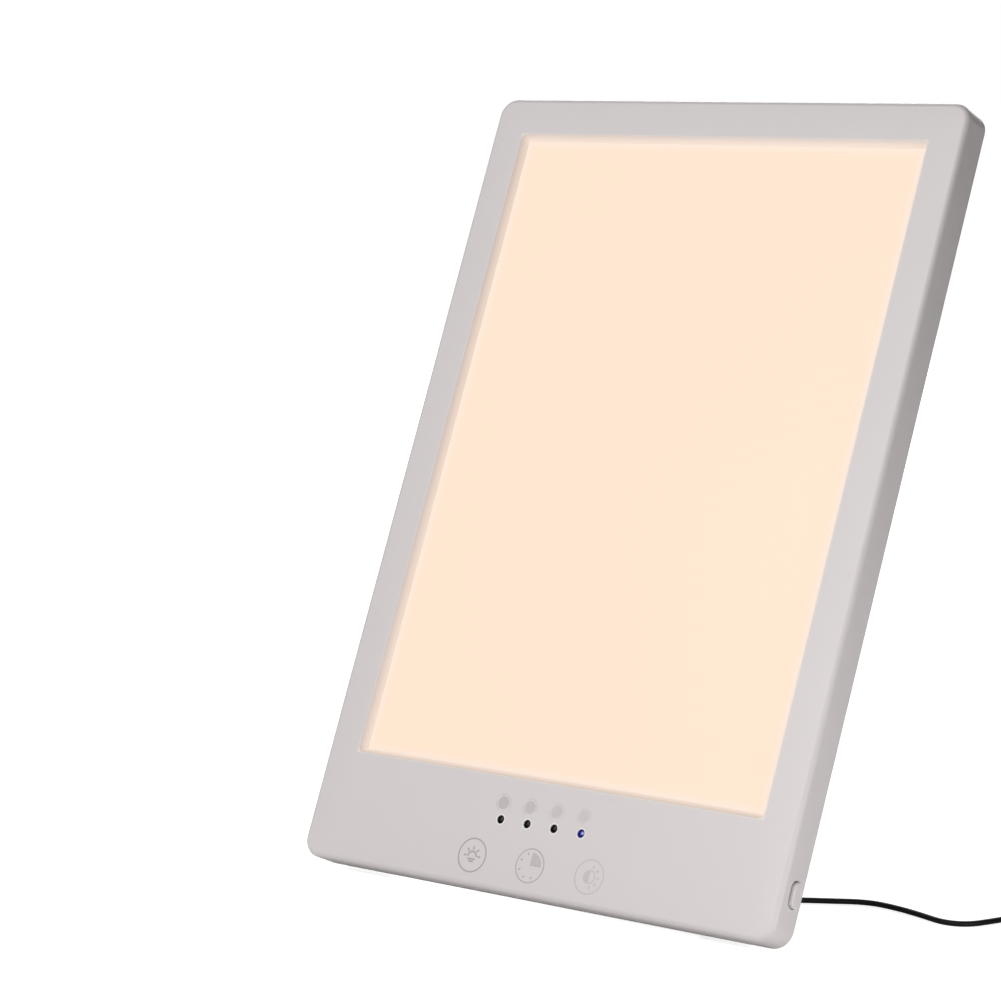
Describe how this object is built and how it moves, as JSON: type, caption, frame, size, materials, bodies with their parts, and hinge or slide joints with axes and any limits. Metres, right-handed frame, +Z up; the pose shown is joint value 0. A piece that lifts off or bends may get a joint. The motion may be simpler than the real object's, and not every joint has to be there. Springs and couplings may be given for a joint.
{
  "type": "light therapy lamp",
  "caption": "Slim tablet-shaped light therapy lamp: edge-lit panel with touch keys and a side power button, on a folding rear leg, with a thin lead.",
  "frame": {"origin": "centre of the lamp's footprint without its lead, on the surface that it stands on", "axes": "+Z up, the lit face towards -Y and leaning back, +X to the viewer's right of the lit face"},
  "size_m": [0.2933, 0.1347, 0.2805],
  "materials": {
    "board": "green solder mask",
    "button": "satin warm white moulded plastic",
    "component": "moulded package",
    "cord_cover": "smooth black flexible plastic",
    "cover": "fine-textured warm white moulded plastic",
    "diffuser": "opal acrylic, lit evenly from behind",
    "housing": "satin warm white moulded plastic",
    "indicator": "dark lens",
    "indicator_lit": "blue lens, lit",
    "jack_plastic": "black moulded plastic",
    "leg": "fine-textured warm white moulded plastic",
    "light_guide": "clear acrylic",
    "nickel": "nickel plate",
    "pad_rubber": "pale silicone rubber",
    "pin_steel": "ground",
    "plate_metal": "plain rolled sheet",
    "plunger": "white",
    "reflector": "white film",
    "screw_steel": "zinc-plated",
    "strip": "white circuit strip",
    "strip_led": "phosphor over white package",
    "tie_plastic": "woven hook-and-loop strap",
    "touch_foam": "conductive foam",
    "wire_cover": "soft wire insulation"
  },
  "bodies": {
    "panel": {"back_plate": "plate_metal", "back_plate_screws": "screw_steel", "board_components": "component", "board_screws": "screw_steel", "case_screws": "screw_steel", "coil_tie": "tie_plastic", "control_board": "board", "cord_coil": "cord_cover", "cord_lead": "cord_cover", "diffuser_plate": "diffuser", "foot_pads": "pad_rubber", "front_housing": "housing", "hinge_pin": "pin_steel", "hinge_washers": "pin_steel", "indicator_led_lit": "indicator_lit", "indicator_leds": "indicator", "inner_wires": "wire_cover", "led_strip_left": "strip", "led_strip_right": "strip", "light_guide_plate": "light_guide", "plug_barrel": "nickel", "plug_grip": "cord_cover", "plug_strain_relief": "cord_cover", "power_jack": "jack_plastic", "power_switch": "jack_plastic", "rear_cover": "cover", "reflector_sheet": "reflector", "strip_leds_left": "strip_led", "strip_leds_right": "strip_led", "touch_pads": "touch_foam", "usb_grip": "cord_cover", "usb_shell": "nickel", "usb_strain_relief": "cord_cover", "usb_tongue_block": "jack_plastic"},
    "leg": {"stand_leg": "leg", "stand_foot_pad": "pad_rubber"},
    "button": {"power_button": "button", "switch_plunger": "plunger"}
  },
  "joints": [
    {"name": "leg_fold", "type": "hinge", "parent": "panel", "child": "leg", "pos_m": [-0.00075, 0.01974, 0.17571], "axis": [-1, 0, 0], "range_deg": [0, 31.95]},
    {"name": "button_press", "type": "slide", "parent": "panel", "child": "button", "axis": [-1, 0, 0], "range_m": [0, 0.001], "stiffness_N_per_m": 1200, "springref_m": -0.0005}
  ]
}
